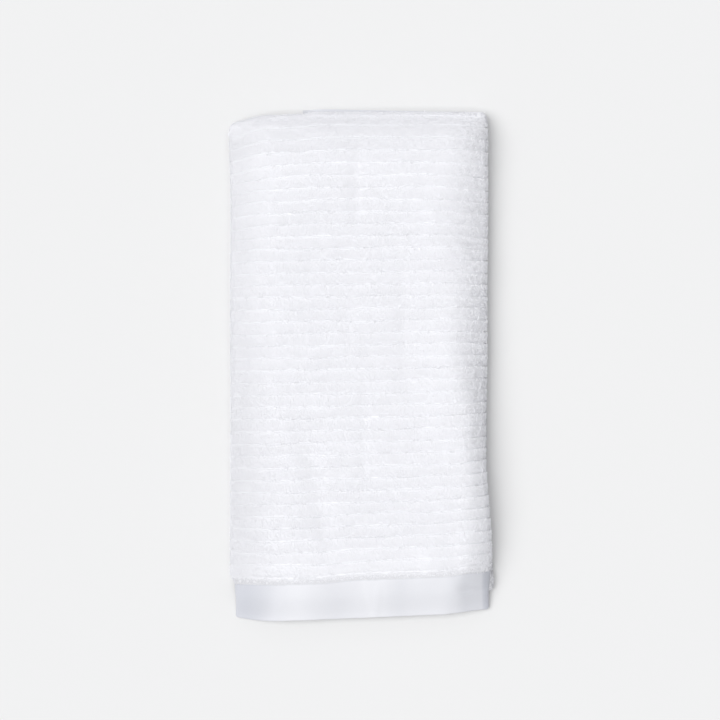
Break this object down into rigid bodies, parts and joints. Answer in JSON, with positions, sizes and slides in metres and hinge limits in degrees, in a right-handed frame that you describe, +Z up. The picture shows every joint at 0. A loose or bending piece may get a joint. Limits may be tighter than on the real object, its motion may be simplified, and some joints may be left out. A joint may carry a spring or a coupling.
{
  "type": "folded bath towel",
  "caption": "White ribbed terry bath towel with smooth end borders, folded in three across its width and again along its length, lying flat.",
  "frame": {"origin": "under the middle of the folded towel's box, on the surface that it lies on", "axes": "+X across the folded towel, +Y along it from the free end of the top layer towards the far fold, +Z up"},
  "size_m": [0.2744, 0.5328, 0.0432],
  "materials": {
    "terry": "matt white looped cotton terry in ribs about 12 mm apart, with a smooth, faintly lustrous border woven in at each end"
  },
  "bodies": {
    "root": {"towel_cloth": "terry"}
  },
  "joints": []
}
